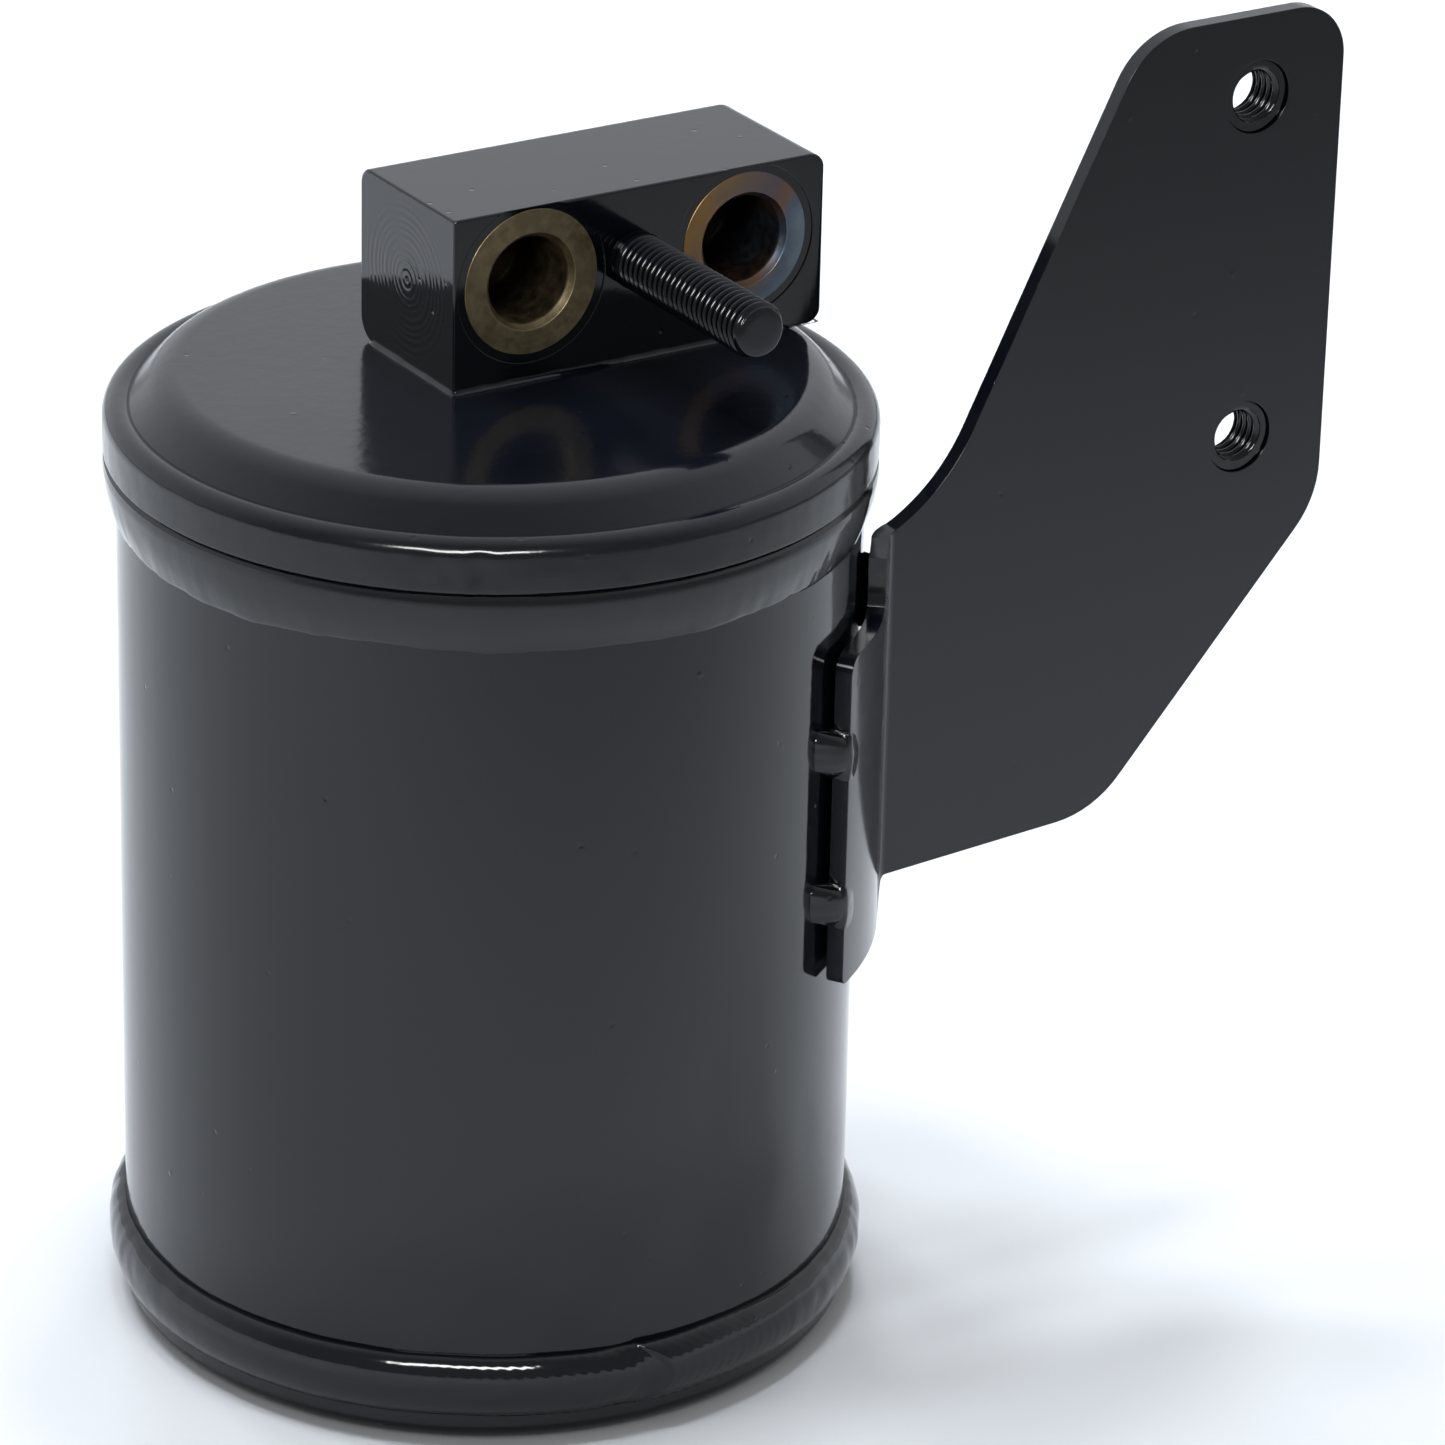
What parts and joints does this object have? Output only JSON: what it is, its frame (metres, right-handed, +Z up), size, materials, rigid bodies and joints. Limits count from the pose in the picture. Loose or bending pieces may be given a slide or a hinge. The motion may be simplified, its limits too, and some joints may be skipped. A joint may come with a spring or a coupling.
{
  "type": "refrigerant receiver-drier",
  "caption": "Black welded steel canister with a two-port manifold block and stud on top and a bent side bracket with threaded holes; filter and drying bed inside.",
  "frame": {"origin": "centre of the can's flat bottom", "axes": "+Z up along the can's axis; both ports and the stud point along -Y; the bracket's flange reaches out along +X"},
  "size_m": [0.1711, 0.1066, 0.1791],
  "materials": {
    "black_paint": "glossy black enamel over steel",
    "bare_steel": "bare machined or drawn steel",
    "filter_felt": "off-white fibre felt",
    "desiccant": "packed beads of drying agent"
  },
  "bodies": {
    "root": {"shell": "black_paint", "top_cap": "black_paint", "bottom_cap": "black_paint", "top_girth_weld": "black_paint", "bottom_girth_weld": "black_paint", "manifold_block": "black_paint", "block_braze": "black_paint", "mounting_stud": "black_paint", "bracket": "black_paint", "bracket_edge_welds": "black_paint", "bracket_rear_welds": "black_paint", "upper_weld_nut": "black_paint", "lower_weld_nut": "black_paint", "pickup_tube": "bare_steel", "tube_braze_ring": "bare_steel", "inlet_deflector": "bare_steel", "upper_retainer_plate": "bare_steel", "lower_support_plate": "bare_steel", "compression_spring": "bare_steel", "strainer_screen": "bare_steel", "upper_filter_pad": "filter_felt", "lower_filter_pad": "filter_felt", "desiccant_bed": "desiccant"}
  },
  "joints": []
}
